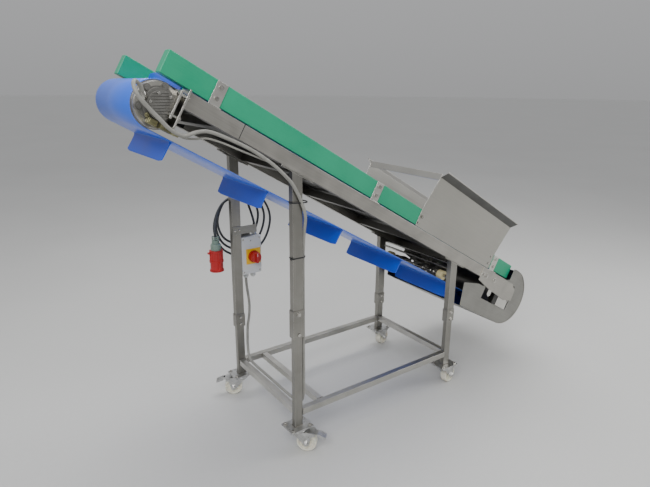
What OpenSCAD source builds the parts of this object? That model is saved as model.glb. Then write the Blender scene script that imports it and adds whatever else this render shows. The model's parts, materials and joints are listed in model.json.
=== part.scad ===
// Mobile inclined belt conveyor: flighted belt, skirt guides, feed hopper, drive at the head,
// take-up at the tail, and a height-adjustable stand on four swivel casters.
// X runs from the discharge end to the infeed end, Y away from the drive side, Z up.

/* [Conveyor] */
// Angle of the belt to the floor, degrees
incline_deg = 29.7; // [26:0.1:32]
// Height of the side rails' lower edge above the floor, over the head legs
rail_foot_z = 1105; // [1080:1:1130]
// Height of a side rail across the belt plane
rail_h = 50; // [46:1:54]
// Width over the outer faces of the side rails
rail_span = 510; // [506:1:516]
// Height of the green skirt guides
guide_h = 71; // [60:1:80]
// Thickness of the skirt guides
guide_t = 38; // [20:1:40]

/* [Belt] */
// Belt width
belt_w = 385; // [370:1:388]
// Belt thickness
belt_t = 3; // [2:0.5:4]
// Outside radius of the belt on both drums
belt_r = 73.5; // [70:0.5:75]
// Distance between the head and tail drum axes, along the belt
drum_centres = 1959; // [1950:1:1965]
// Distance between flights along the belt
flight_pitch = 377; // [370:1:380]
// Height of a flight
flight_h = 66; // [50:1:68]
// Width of a flight
flight_w = 350; // [320:1:354]

/* [Stand] */
// Distance between head legs and tail legs
wheelbase = 837; // [800:1:860]
// Distance between the near and far legs
track = 484; // [480:1:488]
// Height of the top of the base rails
base_top_z = 178; // [170:1:190]
// Size of the square base rails
base_tube = 26; // [20:1:30]
// Position of the extra base cross bar, from the head legs
cross_bar_x = 117; // [90:1:140]

/* [Casters] */
// Wheel radius
wheel_r = 40; // [38:1:41]
// Wheel width
wheel_w = 30; // [26:1:32]
// Distance from the swivel axis back to the wheel axle
caster_trail = 38; // [34:1:40]
// Height of the caster's top plate above the floor
caster_h = 108; // [104:1:112]

/* [Hopper] */
// Where the hopper starts along the belt
hopper_start = 651; // [640:1:660]
// Length of the hopper along the belt
hopper_len = 596; // [560:1:600]
// Height of the hopper walls above the rails' lower edge
hopper_top = 279; // [260:1:290]

/* [Hidden] */
$fn = 64;
e = 0.01;
run_clear = 0.05;
// The frame's origin is the centre of the footprint: these bring the head legs' middle there
origin_x = 443;
origin_y = -10;
half = rail_span / 2;
leg_y = track / 2;
rail_end = 1245;
rail_joint = -246;
rail_head = -443;
flange_u = -470;
head_u = -497;
head_w = -23;
tail_u = head_u + drum_centres;
belt_top = head_w + belt_r;
drum_r = belt_r - belt_t - 0.5;
guide_lo = 58;
guide_y = 196;
guide_start = -537;
guide_end = 1428;
bracket_u = [-356, 382, 1274];
head_shaft_r = 15;
tail_shaft_r = 12.5;
idler_u = 1015;
idler_w = -71.7;
idler_r = 21.5;
bolt_r = 4;
leg_size = [40, 25];
lower_size = [36.4, 21.4];
// Legs in order: near head, far head, near tail, far tail
leg_x = [0, 0, wheelbase, wheelbase];
leg_side = [-1, 1, -1, 1];
collar_z = [488, 343, 334, 251];
collar_h = [110, 60, 60, 60];
caster_turn = [-45, 150, 10, 13];
guard_r = 146;
box_x = 68;
box_y = 231;
box_z = 584;
box_size = [95, 46, 170];
back_y = box_y + box_size[1];
gland_x = [-16, 19];
gland_y = 31;
top_gland_x = 32;
knob_pos = [76, 231, 664];
hook_z = 930;

// ---- placing ----------------------------------------------------------------

// World frame: children are drawn with x from the head legs and y from the centre plane
module world() translate([-origin_x, -origin_y, 0]) children();

// Belt frame: x runs down the belt, y across, z square to the belt, from the rails' lower edge
module incline() world() translate([0, 0, rail_foot_z]) rotate([0, incline_deg, 0]) children();

// Height of the rails' lower edge at a distance x from the head legs
function rail_z(x) = rail_foot_z - x * tan(incline_deg);

// A world position of a point given in the belt frame
function on_belt(u, y, w) = [
    u * cos(incline_deg) + w * sin(incline_deg), y,
    rail_foot_z - u * sin(incline_deg) + w * cos(incline_deg)
];

module block(lo, hi) translate(lo) cube(hi - lo);

module both_sides() {
    children();
    mirror([0, 1, 0]) children();
}

// A plate standing along the belt: outline in u and w, from y0 to y1
module side_plate(y0, y1) translate([0, y1, 0]) rotate([90, 0, 0]) linear_extrude(y1 - y0) children();

// A rod across the belt
module cross_rod(u, w, y0, y1, r) translate([u, y1, w]) rotate([90, 0, 0]) cylinder(r = r, h = y1 - y0);

// A hexagon-headed bolt: its head stands on the origin and points along +z
module hex_bolt(r = bolt_r, shank = 10) {
    cylinder(r = r * 1.8, h = r * 1.3, $fn = 6);
    translate([0, 0, -shank]) cylinder(r = r, h = shank + e, $fn = 32);
}

// A bolt through a plate from its near face at y, pointing towards -Y
module near_bolt(u, w, y, r = bolt_r, shank = 10) translate([u, y, w]) rotate([90, 0, 0]) hex_bolt(r, shank);

// ---- swept cables -----------------------------------------------------------

function unit(v) = v / norm(v);

// A point on the smooth curve through p, t from 0 to len(p) - 1
function curve(p, t) = let (
        n = len(p) - 1, i = min(floor(t), n - 1), f = t - i,
        a = p[max(i - 1, 0)], b = p[i], c = p[i + 1], d = p[min(i + 2, n)]
    ) 0.5 * (2 * b + (c - a) * f + (2 * a - 5 * b + 4 * c - d) * f * f + (3 * b - a - 3 * c + d) * f * f * f);

// A tube of radius r along the curve through points p, with n rings and 8 sides
module cable(p, r, n) {
    last = len(p) - 1;
    at = [for (k = [0 : n - 1]) curve(p, last * k / (n - 1))];
    ring = [for (k = [0 : n - 1]) let (
        t = unit(at[min(k + 1, n - 1)] - at[max(k - 1, 0)]),
        s = unit(cross(t, abs(t[1]) < 0.9 ? [0, 1, 0] : [1, 0, 0])),
        q = cross(t, s)
    ) each [for (j = [0 : 7]) at[k] + r * (cos(45 * j) * s + sin(45 * j) * q)]];
    sides = [for (k = [0 : n - 2]) for (j = [0 : 7])
        [8 * k + j, 8 * k + 8 + j, 8 * k + 8 + (j + 1) % 8, 8 * k + (j + 1) % 8]];
    polyhedron(ring, concat(sides, [[for (j = [0 : 7]) j], [for (j = [7 : -1 : 0]) 8 * (n - 1) + j]]));
}

// ---- conveyor frame -----------------------------------------------------------

// A channel rail with its web outside, split at the joint between its two lengths
module side_rail() rail_lengths() rail_section();

module rail_section() difference() {
    square([28, rail_h]);
    translate([3, 3]) square([25 + e, rail_h - 6]);
}

module rail_lengths() for (run = [[rail_head, rail_joint - 1], [rail_joint + 1, rail_end]])
    translate([run[0], -half, 0]) rotate([90, 0, 90]) linear_extrude(run[1] - run[0]) children();

module side_rail_near() color("silver") incline() side_rail();
module side_rail_far() color("silver") incline() mirror([0, 1, 0]) side_rail();

// The sheet that the carrying belt slides on, with its long edges folded down
module slider_bed() color("dimgray") incline() {
    bed_y = half - 29;
    block([-420, -bed_y, belt_top - belt_t - 3], [1360, bed_y, belt_top - belt_t - 0.5]);
    both_sides() block([-420, -bed_y, 34], [1180, -bed_y + 2.5, belt_top - belt_t - 2]);
}

module cross_members() color("gray") incline() for (u = [-300, 60, 420, 780, 1120])
    difference() {
        block([u - 15, -half + 3.5, 4], [u + 15, half - 3.5, 34]);
        block([u - 13, -half, 6], [u + 13, half, 32]);
    }

module guide() side_plate(-guide_y - guide_t, -guide_y)
    translate([guide_start, guide_lo]) square([guide_end - guide_start, guide_h]);

module guide_near() color("mediumseagreen") incline() guide();
module guide_far() color("mediumseagreen") incline() mirror([0, 1, 0]) guide();

// An upright strap on the guide's outer face, with a foot on the rail's top flange
module guide_bracket(u) {
    face = -guide_y - guide_t;
    block([u - 19, face - 3, rail_h], [u + 19, face, guide_lo + guide_h - 1]);
    block([u - 19, -half + 1, rail_h], [u + 19, face - 2, rail_h + 3]);
}

module guide_brackets() color("gainsboro") incline() both_sides() for (u = bracket_u) guide_bracket(u);

// Every hexagon bolt on the conveyor's frame, guides, tail and hopper
module hex_bolts() color("silver") incline() {
    face = -guide_y - guide_t - 3;
    both_sides() for (u = bracket_u) for (w = [76, 112]) near_bolt(u, w, face);
    both_sides() for (u = [1196, 1226, 1300]) near_bolt(u, 16, -half - 4.5, 5);
    both_sides() for (a = [-55, -15, 25, 65])
        translate([tail_u, 0, head_w]) rotate([0, -a, 0])
        translate([guard_r + 0.2, -half + 10, 0]) rotate([0, 90, 0]) hex_bolt(3, 6);
    near_bolt(hopper_start + 18, 100, -guide_y - guide_t - 3.2);
    both_sides() for (w = [-34, 30]) translate([flange_u, -half - 4.5, w]) rotate([0, -90, 0]) hex_bolt(4, 26);
}

// ---- head end -----------------------------------------------------------------

head_plate_y = -208;
// Places of the drive's lugs round its flange, degrees
lug_angles = [95, 150, 210, 265];

// Keep the part of children on the head side of the first flange
module before_flange() intersection() {
    children();
    block([-700, -400, -200], [flange_u - 0.2, 400, 200]);
}

// Rounded side plates that carry the drive and the head bearing
module head_plates() color("lightgray") incline() both_sides()
    side_plate(head_plate_y - 4, head_plate_y) difference() {
        intersection() {
            translate([head_u, head_w]) circle(r = 66);
            translate([head_u - 100, -100]) square([100 + flange_u - head_u, 200]);
        }
        translate([head_u, head_w]) circle(r = 22);
    }

// Facing flanges that join the head unit to the rails, with a gap between them
module head_flanges() color("lightgray") incline() both_sides() {
    block([flange_u, -half - 12, -46], [flange_u + 6, head_plate_y, 42]);
    block([-449, -half - 12, -66], [rail_head, head_plate_y, 55]);
}

// Round gear housing on a lugged flange, bored for the drum's shaft
module motor_housing() color("dimgray") incline() difference() {
    before_flange() {
        cross_rod(head_u, head_w, -222, -212, 54);
        for (a = lug_angles)
            cross_rod(head_u + 56 * cos(a), head_w + 56 * sin(a), -222, -212, 12);
        cross_rod(head_u, head_w, -238, -221, 49);
    }
    cross_rod(head_u, head_w, -232, -211, head_shaft_r + run_clear);
}

// Ribbed end cover of the drive: level cooling grooves cut across its face
module motor_cover() color("slategray") incline() difference() {
    before_flange() cross_rod(head_u, head_w, -252, -238, 41);
    for (k = [-4 : 4]) translate([head_u, -252, head_w]) rotate([0, -incline_deg, 0])
        translate([-45, -1, 8 * k - 1.5]) cube([90, 4, 3]);
}

module motor_lug_bolts() for (a = lug_angles)
    near_bolt(head_u + 56 * cos(a), head_w + 56 * sin(a), -222, 4.5, 9.5);

// Flanged bearing of the head drum on the far plate, and the drive's lug bolts
module head_bearing() color("gray") incline() {
    mirror([0, 1, 0]) difference() {
        before_flange() {
            cross_rod(head_u, head_w, -224, -212, 46);
            cross_rod(head_u, head_w, -240, -223, 28);
        }
        cross_rod(head_u, head_w, -236, -211, head_shaft_r + run_clear);
    }
    motor_lug_bolts();
}

// Terminal block and cable gland under the head flange
module motor_gland() color("darkkhaki") incline() {
    block([-482, -half - 10, -84], [-446, -half + 14, -66]);
    translate([-446, -half + 2, -75]) rotate([0, 90, 0]) cylinder(r = 9, h = 14, $fn = 6);
    translate([-432, -half + 2, -75]) rotate([0, 90, 0]) cylinder(r = 7, h = 12);
}

// ---- cables clipped to the frame --------------------------------------------------

cable_r = 6;

// Route of the drive's cable from the head, along the rail, down the near head leg to its collar
function motor_route() = [
    on_belt(-553, -236, -16), on_belt(-570, -243, -2), on_belt(-590, -256, 0), on_belt(-592, -270, -14),
    on_belt(-574, -282, -34), on_belt(-540, -284, -49), on_belt(-500, -285, -62), on_belt(-460, -284, -74),
    on_belt(-415, -276, -72),
    on_belt(-385, -272, -46), on_belt(-350, -268, -26), on_belt(-290, -264, -16), on_belt(-200, -262, -10),
    on_belt(-110, -262, -16), [-48, -262, 1096], [-20, -262, 1062], [10, -262, 1005],
    [28, -260, 950], [29.5, -248, 880], [29.5, -242, 800], [29.5, -242, 700], [29.5, -242, 600],
    [29.5, -242, 480]
];

// Route over the base: down the near leg, along the head base rail and up the far leg to the box
function base_route() = [
    [29.5, -242, 479], [29.5, -242, 400], [29.5, -242, 300], [29, -238, 220], [26, -210, 190],
    [20, -140, 186], [20, 0, 186], [20, 140, 186], [24, 200, 192], [30, 226, 240], [38, 240, 290],
    [44, 246, 320], [44, 246, 329]
];

function box_route() = [
    [44, 246, 332], [44, 246, 342], [56, 252, 380], [60, 256, 440], [53, 262, 525], [52, 262, 565.5]
];

module motor_cable() color("dimgray") world() {
    cable(motor_route(), cable_r, 56);
    cable(box_route(), cable_r, 12);
}

module base_cable() color("dimgray") world() cable(base_route(), cable_r, 30);

// ---- tail end -----------------------------------------------------------------------

// Arm plates that carry the tail from the rails' ends
module tail_arms() color("silver") incline() both_sides() side_plate(-half - 4.5, -half - 0.5)
    polygon([[1180, -18], [1180, 46], [1462, 46], [1500, 24], [1506, -34], [1440, -48], [1290, -36]]);

// Outline of a guard side: a disc about the tail drum run out to a straight foot
module guard_outline() difference() {
    union() {
        intersection() {
            translate([tail_u, head_w]) circle(r = guard_r - 2, $fn = 96);
            translate([1416, -200]) square([300, 400]);
        }
        polygon([[1092, -62], [1130, -166], [tail_u, head_w - guard_r + 2], [tail_u, 50], [1245, 50],
            [1245, -34], [1200, -34]]);
    }
    // take-up window
    translate([1262, -92]) square([234, 132]);
    // room for the guide's end
    translate([1380, guide_lo - 2]) square([guide_end - 1380 + 4, 100]);
}

module tail_guard_sides() color("silver") incline() both_sides()
    side_plate(-half, -half + 2) guard_outline();

// Rolled sheet round the tail, continued as a pan under the return belt
module tail_guard_wrap() color("lightgray") incline() difference() {
    side_plate(-half, half) union() {
        difference() {
            translate([tail_u, head_w]) circle(r = guard_r, $fn = 96);
            translate([tail_u, head_w]) circle(r = guard_r - 1.9, $fn = 96);
            translate([tail_u - 200, -200]) square([200, 400]);
            translate([tail_u - 100, head_w + guard_r * sin(76)]) square([200, 100]);
        }
        translate([1134, head_w - guard_r]) square([tail_u - 1134, 1.9]);
    }
    // cut back behind the side plates' foot
    translate([1100, 0, 0]) both_sides() block([0, -half - 1, -200], [34, -half + 3, -150]);
}

// Bearing blocks that slide in the take-up windows
module takeup_blocks() color("gainsboro") incline() both_sides() difference() {
    block([tail_u - 66, -half + 0.2, -90], [tail_u + 24, -half + 24, 38]);
    cross_rod(tail_u, head_w, -half + 3, -half + 25, tail_shaft_r + run_clear);
}

// ---- belt ------------------------------------------------------------------------------

module loop_outline(r) {
    translate([head_u, head_w]) circle(r = r, $fn = 128);
    translate([tail_u, head_w]) circle(r = r, $fn = 128);
    translate([head_u, head_w - r]) square([drum_centres, 2 * r]);
}

module belt() color("royalblue") incline() side_plate(-belt_w / 2, belt_w / 2) difference() {
    loop_outline(belt_r);
    loop_outline(belt_r - belt_t);
}

flight_count = 12;
// Distance of the first flight past the head drum's top, measured back up the belt
first_flight = 54;
arc_len = PI * belt_r;

// Place children on the belt's outer face at a distance s from the head drum's top
module on_loop(s) {
    back = s - arc_len;
    tail = back - drum_centres;
    top = tail - arc_len;
    if (s < 0) translate([head_u - s, 0, belt_top]) children();
    else if (back < 0) translate([head_u, 0, head_w]) rotate([0, -s / arc_len * 180, 0])
        translate([0, 0, belt_r]) children();
    else if (tail < 0) translate([head_u + back, 0, head_w - belt_r]) rotate([0, 180, 0]) children();
    else if (top < 0) translate([tail_u, 0, head_w]) rotate([0, 180 - tail / arc_len * 180, 0])
        translate([0, 0, belt_r]) children();
    else translate([tail_u - top, 0, belt_top]) children();
}

module flights() color("mediumblue") incline() for (k = [0 : flight_count - 1])
    on_loop(flight_pitch * k - first_flight)
        block([-2, -flight_w / 2, 0], [2, flight_w / 2, flight_h]);

// ---- hopper ------------------------------------------------------------------------------

// Profile of a hopper wall in y and w: upright foot, leaning wall, flared lip
module wall_profile(foot_y, top_y, lip_y, foot_w) polygon([
    [foot_y, foot_w], [foot_y, 136], [top_y, hopper_top], [lip_y, hopper_top + 25],
    [lip_y - 1.4, hopper_top + 23.6], [top_y - 2, hopper_top], [foot_y - 2, 136], [foot_y - 2, foot_w]
]);

module hopper_wall(start, len) translate([start, 0, 0]) rotate([90, 0, 90]) linear_extrude(len) children();

module hopper_near() color("lightgray") incline()
    hopper_wall(hopper_start, hopper_len) wall_profile(-guide_y - guide_t - 0.6, -256, -288, 55);

module hopper_far() color("lightgray") incline() mirror([0, 1, 0])
    hopper_wall(hopper_start, hopper_len) wall_profile(-190, -194, -226, 62);

module hopper_back() color("lightgray") incline()
    block([hopper_start + hopper_len - 4, -guide_y + 1, 122], [hopper_start + hopper_len - 2, 189, 262]);

module hopper_brace() color("gainsboro") incline()
    block([hopper_start + 2, -257, hopper_top - 14], [hopper_start + 4, 194, hopper_top + 16]);

// ---- stand --------------------------------------------------------------------------------

module tube_upright(size, wall, z0, z1) difference() {
    block([-size[0] / 2, -size[1] / 2, z0], [size[0] / 2, size[1] / 2, z1]);
    block([-size[0] / 2 + wall, -size[1] / 2 + wall, z0 - 1], [size[0] / 2 - wall, size[1] / 2 - wall, z1 + 1]);
}

module at_leg(i) translate([leg_x[i], leg_side[i] * leg_y, 0]) children();

// Telescopic upper legs with the mounting strips welded along their tops
module upper_legs() color("silver") {
    world() for (i = [0 : 3]) difference() {
        at_leg(i) tube_upright(leg_size, 1.5, collar_z[i], rail_z(leg_x[i]) + 20);
        above_rails();
    }
    incline() for (i = [0 : 3]) {
        u = leg_x[i] / cos(incline_deg);
        y = leg_side[i] * leg_y;
        block([u - 68, y - 13, -6], [u + 76, y + 13, -0.2]);
    }
}

module above_rails() translate([0, 0, rail_foot_z]) rotate([0, incline_deg, 0])
    block([-200, -400, -5.9], [1600, 400, 100]);

module leg_collars() color("lightgray") world() for (i = [0 : 3]) at_leg(i)
    difference() {
        block([-22.5, -15, collar_z[i]], [22.5, 15, collar_z[i] + collar_h[i]]);
        block([-20, -12.5, collar_z[i] - 1], [20, 12.5, collar_z[i] + collar_h[i] + 1]);
    }

module clamp_bolts() color("silver") world() for (i = [0 : 3]) at_leg(i)
    for (z = [14, collar_h[i] - 14])
        translate([0, leg_side[i] * 15, collar_z[i] + z])
        rotate([leg_side[i] * -90, 0, 0]) hex_bolt(4, 3.5);

module lower_legs() color("silver") world() for (i = [0 : 3]) at_leg(i)
    tube_upright(lower_size, 2, caster_h, collar_z[i] + collar_h[i] + 120);

module base_bar(a, b) {
    z0 = base_top_z - base_tube;
    r = base_tube / 2;
    difference() {
        block([a[0], a[1], z0], [b[0], b[1], base_top_z]);
        if (b[0] - a[0] > b[1] - a[1])
            block([a[0] - 1, a[1] + 2, z0 + 2], [b[0] + 1, b[1] - 2, base_top_z - 2]);
        else
            block([a[0] + 2, a[1] - 1, z0 + 2], [b[0] - 2, b[1] + 1, base_top_z - 2]);
    }
}

// Rails along the base, between the legs
module base_side_rails() color("gainsboro") world() both_sides()
    base_bar([lower_size[0] / 2, -leg_y - 13], [wheelbase - lower_size[0] / 2, -leg_y + 13]);

// Rails across the base at both ends, and the extra cross bar
module base_end_rails() color("gainsboro") world() {
    for (x = [0, wheelbase])
        base_bar([x - 13, -leg_y + lower_size[1] / 2], [x + 13, leg_y - lower_size[1] / 2]);
    base_bar([cross_bar_x - 13, -leg_y + 13], [cross_bar_x + 13, leg_y - 13]);
}

// ---- casters -------------------------------------------------------------------------------

king_r = 8;

// Top plates with the kingpins the forks turn on
module caster_plates() color("lightgray") world() for (i = [0 : 3]) at_leg(i) {
    block([-50, -40, caster_h - 6], [50, 40, caster_h]);
    translate([0, 0, 82]) cylinder(r = king_r, h = caster_h - 82 - 3);
}

// One cheek of the fork: narrow at the axle, wide under the race
module cheek() difference() {
    union() {
        polygon([[-24, 88], [24, 88], [70, 88], [74, 76], [58, 70], [48, 34], [28, 34]]);
        translate([caster_trail, 40]) circle(r = 10);
    }
}

module fork() {
    axle_r = 6;
    difference() {
        translate([0, 0, 84]) cylinder(r = 30, h = 17.5);
        translate([0, 0, 80]) cylinder(r = king_r + run_clear, h = 30);
    }
    difference() {
        block([-24, -21, 84.5], [70, 21, 88]);
        translate([0, 0, 80]) cylinder(r = king_r + run_clear, h = 30);
    }
    both_sides() side_plate(-21, -18.5) cheek();
    cross_rod(caster_trail, 40, -26, 26, axle_r);
    both_sides() cross_rod(caster_trail, 40, -26, -21, 9);
}

module wheel() difference() {
    union() {
        translate([caster_trail, 0, 40]) rotate([90, 0, 0]) rotate_extrude($fn = 96) polygon([
            [5, -17], [12, -17], [12, -9], [30, -9], [32, -15], [wheel_r - 2, -15], [wheel_r, -12],
            [wheel_r, 12], [wheel_r - 2, 15], [32, 15], [30, 9], [12, 9], [12, 17], [5, 17]
        ]);
    }
    cross_rod(caster_trail, 40, -20, 20, 6 + run_clear);
}

// Foot lever of the brake, on a pin behind the wheel
module pedal() {
    cross_rod(66, 81, -18, 18, 3);
    block([64, -16, 79.5], [84, 16, 82.5]);
    translate([84, 0, 79.5]) rotate([0, 24, 0]) block([-2, -16, 0], [34, 16, 3]);
}

module at_caster(i) world() at_leg(i) rotate([0, 0, caster_turn[i]]) children();

module caster_fork(i) color("silver") at_caster(i) difference() {
    fork();
    if (i < 2) cross_rod(66, 81, -18.3, 18.3, 3.3);
}
module caster_wheel(i) color("ivory") at_caster(i) wheel();
module brake_pedal(i) color("gainsboro") at_caster(i) pedal();

module caster_fork_1() caster_fork(0);
module caster_fork_2() caster_fork(1);
module caster_fork_3() caster_fork(2);
module caster_fork_4() caster_fork(3);
module caster_wheel_1() caster_wheel(0);
module caster_wheel_2() caster_wheel(1);
module caster_wheel_3() caster_wheel(2);
module caster_wheel_4() caster_wheel(3);
module brake_pedal_1() brake_pedal(0);
module brake_pedal_2() brake_pedal(1);

// ---- control box ------------------------------------------------------------------------------

module at_box() translate([box_x, box_y, box_z]) children();

module rounded_box(size, r) translate([-size[0] / 2, 0, 0]) linear_extrude(size[2]) {
    translate([r, 0]) square([size[0] - 2 * r, size[1]]);
    translate([0, r]) square([size[0], size[1] - 2 * r]);
    for (x = [r, size[0] - r]) for (y = [r, size[1] - r]) translate([x, y]) circle(r = r);
}

module enclosure_box() color("whitesmoke") world() at_box() difference() {
    translate([0, 20, 0]) rounded_box(box_size - [0, 20, 0], 5);
    translate([0, 19, 3]) rounded_box(box_size - [6, 22, 6], 4);
    for (x = gland_x) translate([x, gland_y, -1]) cylinder(r = 8, h = 5);
    translate([top_gland_x, gland_y, box_size[2] - 4]) cylinder(r = 8, h = 5);
}

module enclosure_lid() color("whitesmoke") world() at_box() difference() {
    rounded_box([box_size[0], 19.5, box_size[2]], 5);
    translate([0, 3, 3]) rounded_box([box_size[0] - 6, 17.5, box_size[2] - 6], 4);
    translate([knob_pos[0] - box_x, -1, knob_pos[2] - box_z]) rotate([-90, 0, 0]) cylinder(r = 6, h = 10);
}

module switch_plate() color("gold") world() difference() {
    translate([0, -2, 0]) block(knob_pos - [35, 0, 35], knob_pos + [35, 1.9, 35]);
    translate(knob_pos - [0, 4, 0]) rotate([-90, 0, 0]) cylinder(r = 6, h = 10);
}

module switch_knob() color("red") world() translate(knob_pos) rotate([90, 0, 0]) {
    translate([0, 0, -8]) cylinder(r = 4, h = 14);
    translate([0, 0, 2.5]) cylinder(r = 26, h = 10);
    translate([0, 0, 12]) cylinder(r = 22, h = 22);
    translate([0, 0, 30]) block([-5, -22, 0], [5, 22, 12]);
}

// Angle bar that hangs the box on the leg
module box_bracket() color("darkgray") world() {
    block([-18, 226, 773], [94, 229.3, 808]);
    block([21, 226, 773], [86, back_y + 2.5, 776]);
    block([21, back_y + 0.2, 640], [86, back_y + 2.5, 774]);
}

module gland() {
    translate([0, 0, -9]) cylinder(r = 11, h = 9, $fn = 6);
    difference() {
        translate([0, 0, -18]) cylinder(r = 8.5, h = 20);
        translate([0, 0, -19]) cylinder(r = 6, h = 22);
    }
}

module box_glands() color("gray") world() at_box() {
    for (x = gland_x) translate([x, gland_y, 0]) gland();
    translate([top_gland_x, gland_y, box_size[2]]) mirror([0, 0, 1]) gland();
}

// ---- supply cable --------------------------------------------------------------------------------

supply_r = 5;

// One turn hung from the hook: t in quarters of a turn, with its own width, drop and depth
function hung(i) = [for (q = [
        [0.12, 0], [0.42, -0.12], [0.56, -0.45], [0.42, -0.82], [0.06, -1], [-0.32, -0.84], [-0.46, -0.48],
        [-0.3, -0.12]
    ]) [55 - 14 * i + q[0] * (272 - 40 * i), 306 - 10.5 * i + q[0] * 3, hook_z + q[1] * (282 - 34 * i)]];

function supply_route() = concat(
    [[100, 262, 772.5], [100, 262, 805], [99, 280, 842], [97, 304, 880], [94, 306, 908]],
    hung(0), hung(1), hung(2),
    [[14, 272, hook_z + 2], [-42, 270, 905], [-74, 258, 862], [-90, 246, 820], [-94, 240, 790], [-94, 240, 761]]
);

module supply_cable() color("darkslategray") world() cable(supply_route(), supply_r, 80);

plug_at = [-94, 240, 627];

module plug_body() color("firebrick") world() translate(plug_at) {
    difference() {
        cylinder(r = 27, h = 92);
        translate([0, 0, -1]) cylinder(r = 22, h = 46);
    }
    cylinder(r = 30, h = 5);
    difference() {
        translate([0, 0, 40]) cylinder(r = 30, h = 8);
        translate([0, 0, 39]) cylinder(r = 26, h = 10);
    }
    for (a = [0 : 90 : 270]) rotate([0, 0, a]) translate([11, 0, 8]) cylinder(r = 2.5, h = 40);
}

module plug_cap() color("darkseagreen") world() translate(plug_at + [0, 0, 92]) difference() {
    union() {
        cylinder(r = 21, h = 24);
        translate([0, 0, 23]) cylinder(r = 15, h = 19);
    }
    translate([0, 0, -1]) cylinder(r = supply_r, h = 50);
}

module cable_ties() color("black") world() for (z = [798, 1000]) difference() {
    block([-23, -leg_y - 28, z], [38, -leg_y + 15, z + 5]);
    block([-21.5, -leg_y - 26.5, z - 1], [36.5, -leg_y + 13.5, z + 6]);
}

module cable_hook() color("silver") world() {
    block([20, 254.6, hook_z - 34], [32, 258, hook_z + 20]);
    translate([26, 318, hook_z - 26]) rotate([90, 0, 0]) cylinder(r = 4, h = 62);
    translate([26, 321, hook_z - 26]) rotate([90, 0, 0]) cylinder(r = 13, h = 4);
}

// ---- turning parts -------------------------------------------------------------------------------

// A lagged drum: a tube on a shaft, with a holed disc welded in near each end
module drum(shaft_r, y0, y1) {
    shell_y = belt_w / 2 + 2;
    difference() {
        rotate([90, 0, 0]) translate([0, 0, -shell_y]) cylinder(r = drum_r, h = 2 * shell_y, $fn = 96);
        rotate([90, 0, 0]) translate([0, 0, -shell_y - 1]) cylinder(r = drum_r - 4, h = 2 * shell_y + 2);
    }
    both_sides() difference() {
        cross_rod(0, 0, -shell_y + 12, -shell_y + 18, drum_r - 3);
        for (a = [45 : 90 : 315]) cross_rod(42 * cos(a), 42 * sin(a), -shell_y + 11, -shell_y + 19, 14);
    }
    cross_rod(0, 0, y0, y1, shaft_r);
}

module head_drum() color("gray") incline() translate([head_u, 0, head_w]) drum(head_shaft_r, -230, 234);

module tail_drum() color("gray") incline() translate([tail_u, 0, head_w])
    drum(tail_shaft_r, -half + 4, half - 4);

// Bright rods that tie the tail legs together
module tie_rods() color("silver") incline() for (w = [-36, -12])
    cross_rod(985, w, -leg_y + leg_size[1] / 2, leg_y - leg_size[1] / 2, 5);

module idler_shaft() color("silver") incline() cross_rod(idler_u, idler_w, -half + 4, half - 4, 8);

module idler_rollers() color("cornsilk") incline() both_sides() difference() {
    cross_rod(idler_u, idler_w, -190, -160, idler_r);
    cross_rod(idler_u, idler_w, -191, -159, 8 + run_clear);
}

side_rail_near();
side_rail_far();
slider_bed();
cross_members();
guide_near();
guide_far();
guide_brackets();
hex_bolts();
head_plates();
head_flanges();
motor_housing();
motor_cover();
head_bearing();
motor_gland();
motor_cable();
base_cable();
tail_arms();
tail_guard_sides();
tail_guard_wrap();
belt();
flights();
hopper_near();
hopper_far();
hopper_back();
hopper_brace();
upper_legs();
leg_collars();
clamp_bolts();
enclosure_box();
enclosure_lid();
switch_plate();
box_bracket();
box_glands();
supply_cable();
plug_body();
plug_cap();
cable_ties();
cable_hook();
tie_rods();
idler_shaft();
head_drum();
takeup_blocks();
tail_drum();
idler_rollers();
switch_knob();
base_side_rails();
base_end_rails();
lower_legs();
caster_plates();
caster_fork_1();
caster_fork_2();
caster_fork_3();
caster_fork_4();
caster_wheel_1();
caster_wheel_2();
caster_wheel_3();
caster_wheel_4();
brake_pedal_1();
brake_pedal_2();
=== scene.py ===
import json
import math

import bmesh
import bpy
from mathutils import Matrix, Vector

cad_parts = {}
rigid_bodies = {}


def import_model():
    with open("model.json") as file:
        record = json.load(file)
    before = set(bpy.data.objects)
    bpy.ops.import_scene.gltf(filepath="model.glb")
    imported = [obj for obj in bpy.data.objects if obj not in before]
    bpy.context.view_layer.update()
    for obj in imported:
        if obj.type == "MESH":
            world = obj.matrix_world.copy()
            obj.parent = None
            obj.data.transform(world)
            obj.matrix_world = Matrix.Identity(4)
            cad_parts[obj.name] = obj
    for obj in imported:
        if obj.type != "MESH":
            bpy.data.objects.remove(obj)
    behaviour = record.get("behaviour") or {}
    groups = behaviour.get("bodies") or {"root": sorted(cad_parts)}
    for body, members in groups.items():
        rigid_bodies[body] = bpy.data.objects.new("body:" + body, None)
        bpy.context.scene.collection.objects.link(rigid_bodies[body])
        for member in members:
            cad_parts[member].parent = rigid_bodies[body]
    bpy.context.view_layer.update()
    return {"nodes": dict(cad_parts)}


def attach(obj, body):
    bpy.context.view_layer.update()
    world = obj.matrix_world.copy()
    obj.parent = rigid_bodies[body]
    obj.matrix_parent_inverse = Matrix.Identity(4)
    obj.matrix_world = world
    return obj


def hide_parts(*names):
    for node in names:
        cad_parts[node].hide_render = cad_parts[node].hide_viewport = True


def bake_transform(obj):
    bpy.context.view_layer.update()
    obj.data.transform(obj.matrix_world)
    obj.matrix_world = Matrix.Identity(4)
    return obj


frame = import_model()
nodes = frame["nodes"]
shown = bpy.context.scene.collection.objects

# ---- places ----------------------------------------------
# The stand's frame has x from the head legs and y from the centre plane. The belt's frame
# runs down the belt (u), across it (y) and square to it (w) from the side rails' lower edge.

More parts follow.
